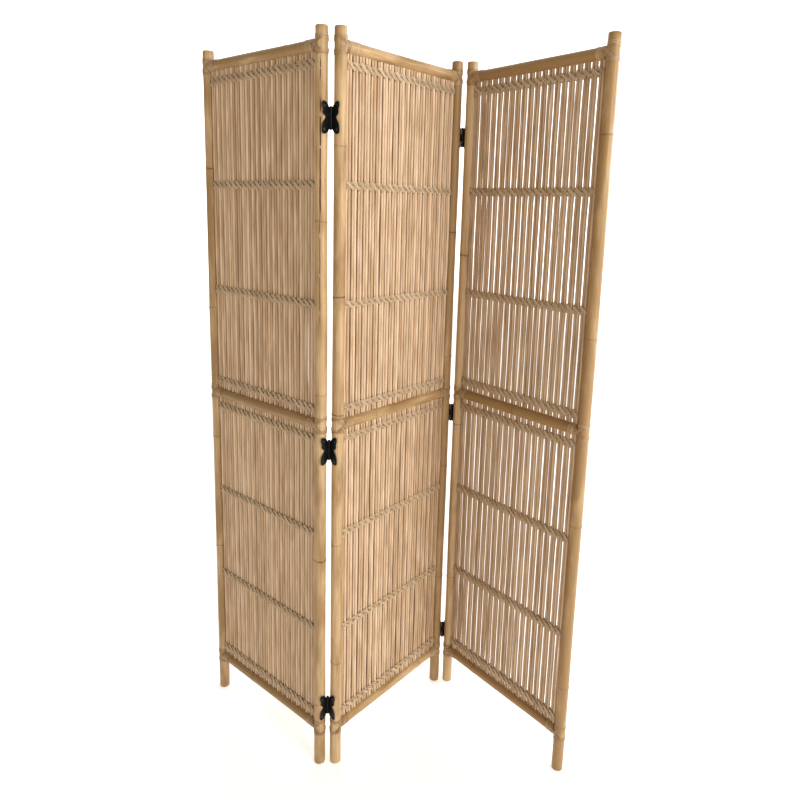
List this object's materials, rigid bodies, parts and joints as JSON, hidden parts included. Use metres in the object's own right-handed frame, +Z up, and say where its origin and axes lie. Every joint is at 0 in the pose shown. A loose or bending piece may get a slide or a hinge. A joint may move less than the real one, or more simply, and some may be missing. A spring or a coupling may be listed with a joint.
{
  "type": "folding room divider screen",
  "caption": "Free-standing folding screen: round rattan pole frames, woven upright rod infill, cane lashings and black butterfly hinges.",
  "frame": {"origin": "on the floor, under the centre of the standing screen's bounding box", "axes": "+Z up, +X to the right across the screen, -Y towards its front, where the left fold points"},
  "size_m": [0.9678, 0.3618, 1.8],
  "materials": {
    "rattan_pole": "peeled rattan, pale honey, satin",
    "rattan_rods": "thin peeled rods, pale straw, satin",
    "bound_cane": "flat cane strip, semi-gloss skin outside",
    "hinge_steel": "black enamel, satin",
    "pin_steel": "black enamel, satin"
  },
  "bodies": {
    "left_panel": {"left_panel_left_post": "rattan_pole", "left_panel_top_left_lashing": "bound_cane", "left_panel_mid_left_lashing": "bound_cane", "left_panel_bottom_left_lashing": "bound_cane", "left_panel_right_post": "rattan_pole", "left_panel_top_right_lashing": "bound_cane", "left_panel_mid_right_lashing": "bound_cane", "left_panel_bottom_right_lashing": "bound_cane", "left_panel_top_rail": "rattan_pole", "left_panel_mid_rail": "rattan_pole", "left_panel_bottom_rail": "rattan_pole", "left_panel_upper_weave": "rattan_rods", "left_panel_lower_weave": "rattan_rods", "left_fold_top_hinge_outer_leaf": "hinge_steel", "left_fold_mid_hinge_outer_leaf": "hinge_steel", "left_fold_bottom_hinge_outer_leaf": "hinge_steel"},
    "mid_panel": {"mid_panel_left_post": "rattan_pole", "mid_panel_top_left_lashing": "bound_cane", "mid_panel_mid_left_lashing": "bound_cane", "mid_panel_bottom_left_lashing": "bound_cane", "mid_panel_right_post": "rattan_pole", "mid_panel_top_right_lashing": "bound_cane", "mid_panel_mid_right_lashing": "bound_cane", "mid_panel_bottom_right_lashing": "bound_cane", "mid_panel_top_rail": "rattan_pole", "mid_panel_mid_rail": "rattan_pole", "mid_panel_bottom_rail": "rattan_pole", "mid_panel_upper_weave": "rattan_rods", "mid_panel_lower_weave": "rattan_rods", "left_fold_top_hinge_mid_leaf": "hinge_steel", "left_fold_top_hinge_pin": "pin_steel", "left_fold_mid_hinge_mid_leaf": "hinge_steel", "left_fold_mid_hinge_pin": "pin_steel", "left_fold_bottom_hinge_mid_leaf": "hinge_steel", "left_fold_bottom_hinge_pin": "pin_steel", "right_fold_top_hinge_mid_leaf": "hinge_steel", "right_fold_top_hinge_pin": "pin_steel", "right_fold_mid_hinge_mid_leaf": "hinge_steel", "right_fold_mid_hinge_pin": "pin_steel", "right_fold_bottom_hinge_mid_leaf": "hinge_steel", "right_fold_bottom_hinge_pin": "pin_steel"},
    "right_panel": {"right_panel_left_post": "rattan_pole", "right_panel_top_left_lashing": "bound_cane", "right_panel_mid_left_lashing": "bound_cane", "right_panel_bottom_left_lashing": "bound_cane", "right_panel_right_post": "rattan_pole", "right_panel_top_right_lashing": "bound_cane", "right_panel_mid_right_lashing": "bound_cane", "right_panel_bottom_right_lashing": "bound_cane", "right_panel_top_rail": "rattan_pole", "right_panel_mid_rail": "rattan_pole", "right_panel_bottom_rail": "rattan_pole", "right_panel_upper_weave": "rattan_rods", "right_panel_lower_weave": "rattan_rods", "right_fold_top_hinge_outer_leaf": "hinge_steel", "right_fold_mid_hinge_outer_leaf": "hinge_steel", "right_fold_bottom_hinge_outer_leaf": "hinge_steel"}
  },
  "joints": [
    {"name": "left_fold", "type": "hinge", "parent": "mid_panel", "child": "left_panel", "pos_m": [-0.1313, -0.15883, 0], "axis": [0, 0, 1], "range_deg": [-68, 88]},
    {"name": "right_fold", "type": "hinge", "parent": "mid_panel", "child": "right_panel", "pos_m": [0.1844, 0.16471, 0], "axis": [0, 0, 1], "range_deg": [-58, 98]}
  ]
}
